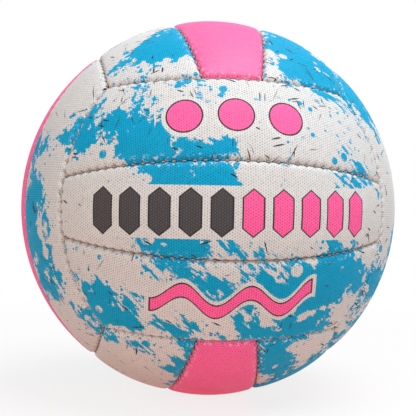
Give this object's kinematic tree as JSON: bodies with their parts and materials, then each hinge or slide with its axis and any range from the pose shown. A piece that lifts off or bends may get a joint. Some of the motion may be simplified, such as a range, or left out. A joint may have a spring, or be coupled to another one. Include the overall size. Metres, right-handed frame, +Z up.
{
  "type": "netball",
  "caption": "Sewn inflatable netball: strip-panel grip cover, pink and splash-printed white, over padded linings and a rubber bladder with a needle valve.",
  "frame": {"origin": "centre of the ball", "axes": "+Z up, -Y towards the viewer of the picture, +X to the viewer's right; the valve faces +Y"},
  "size_m": [0.222, 0.2219, 0.222],
  "materials": {
    "pink_grip_rubber": "satin",
    "printed_grip_rubber": "satin",
    "lining_cloth": "matte",
    "seam_thread": "matte",
    "bladder_rubber": "matte",
    "valve_rubber": "matte",
    "patch_cloth": "matte"
  },
  "bodies": {
    "root": {"bladder": "bladder_rubber", "cover_back_centre": "printed_grip_rubber", "cover_back_lower": "printed_grip_rubber", "cover_back_upper": "printed_grip_rubber", "cover_bottom_centre": "pink_grip_rubber", "cover_bottom_left": "printed_grip_rubber", "cover_bottom_right": "printed_grip_rubber", "cover_front_centre": "printed_grip_rubber", "cover_front_lower": "printed_grip_rubber", "cover_front_upper": "printed_grip_rubber", "cover_left_centre": "pink_grip_rubber", "cover_left_front": "printed_grip_rubber", "cover_left_rear": "printed_grip_rubber", "cover_right_centre": "pink_grip_rubber", "cover_right_front": "printed_grip_rubber", "cover_right_rear": "printed_grip_rubber", "cover_top_centre": "pink_grip_rubber", "cover_top_left": "printed_grip_rubber", "cover_top_right": "printed_grip_rubber", "lining_back_centre": "lining_cloth", "lining_back_lower": "lining_cloth", "lining_back_upper": "lining_cloth", "lining_bottom_centre": "lining_cloth", "lining_bottom_left": "lining_cloth", "lining_bottom_right": "lining_cloth", "lining_front_centre": "lining_cloth", "lining_front_lower": "lining_cloth", "lining_front_upper": "lining_cloth", "lining_left_centre": "lining_cloth", "lining_left_front": "lining_cloth", "lining_left_rear": "lining_cloth", "lining_right_centre": "lining_cloth", "lining_right_front": "lining_cloth", "lining_right_rear": "lining_cloth", "lining_top_centre": "lining_cloth", "lining_top_left": "lining_cloth", "lining_top_right": "lining_cloth", "seam_thread_back_left": "seam_thread", "seam_thread_back_right": "seam_thread", "seam_thread_back_strips": "seam_thread", "seam_thread_bottom_back": "seam_thread", "seam_thread_bottom_front": "seam_thread", "seam_thread_bottom_strips": "seam_thread", "seam_thread_front_left": "seam_thread", "seam_thread_front_right": "seam_thread", "seam_thread_front_strips": "seam_thread", "seam_thread_left_bottom": "seam_thread", "seam_thread_left_strips": "seam_thread", "seam_thread_left_top": "seam_thread", "seam_thread_right_bottom": "seam_thread", "seam_thread_right_strips": "seam_thread", "seam_thread_right_top": "seam_thread", "seam_thread_top_back": "seam_thread", "seam_thread_top_front": "seam_thread", "seam_thread_top_strips": "seam_thread", "valve_body": "valve_rubber", "valve_patch": "patch_cloth", "valve_plug": "valve_rubber"}
  },
  "joints": []
}
